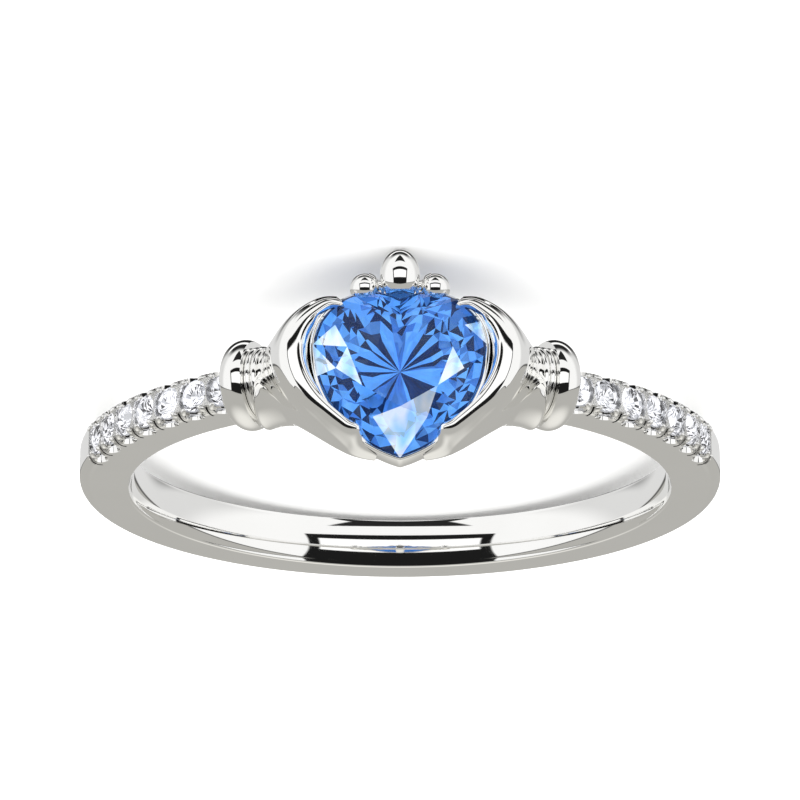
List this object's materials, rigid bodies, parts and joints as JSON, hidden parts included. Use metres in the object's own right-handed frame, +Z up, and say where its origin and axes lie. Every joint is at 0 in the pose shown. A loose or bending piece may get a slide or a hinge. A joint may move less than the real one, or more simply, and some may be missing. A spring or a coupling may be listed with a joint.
{
  "type": "finger ring",
  "caption": "Claddagh finger ring: hands hold a heart-cut stone under a crown, on a round band with small stones set in its shoulders.",
  "frame": {"origin": "centre of the finger hole, halfway through the band", "axes": "The ring lies on its side, crown down. +Y from the heart to the back of the band, +X across the ring, +Z up, away from the floor. The finger hole's axis leans from +Z towards +Y by about 6 degrees."},
  "size_m": [0.0208, 0.0236, 0.0066],
  "materials": {
    "silver": "mirror-polished sterling silver",
    "blue_stone": "cut and polished, clear blue",
    "clear_stone": "cut and polished, clear"
  },
  "bodies": {
    "root": {"ring_metal": "silver", "heart_stone": "blue_stone", "pave_r1": "clear_stone", "pave_r2": "clear_stone", "pave_r3": "clear_stone", "pave_r4": "clear_stone", "pave_r5": "clear_stone", "pave_r6": "clear_stone", "pave_r7": "clear_stone", "pave_l1": "clear_stone", "pave_l2": "clear_stone", "pave_l3": "clear_stone", "pave_l4": "clear_stone", "pave_l5": "clear_stone", "pave_l6": "clear_stone", "pave_l7": "clear_stone"}
  },
  "joints": []
}
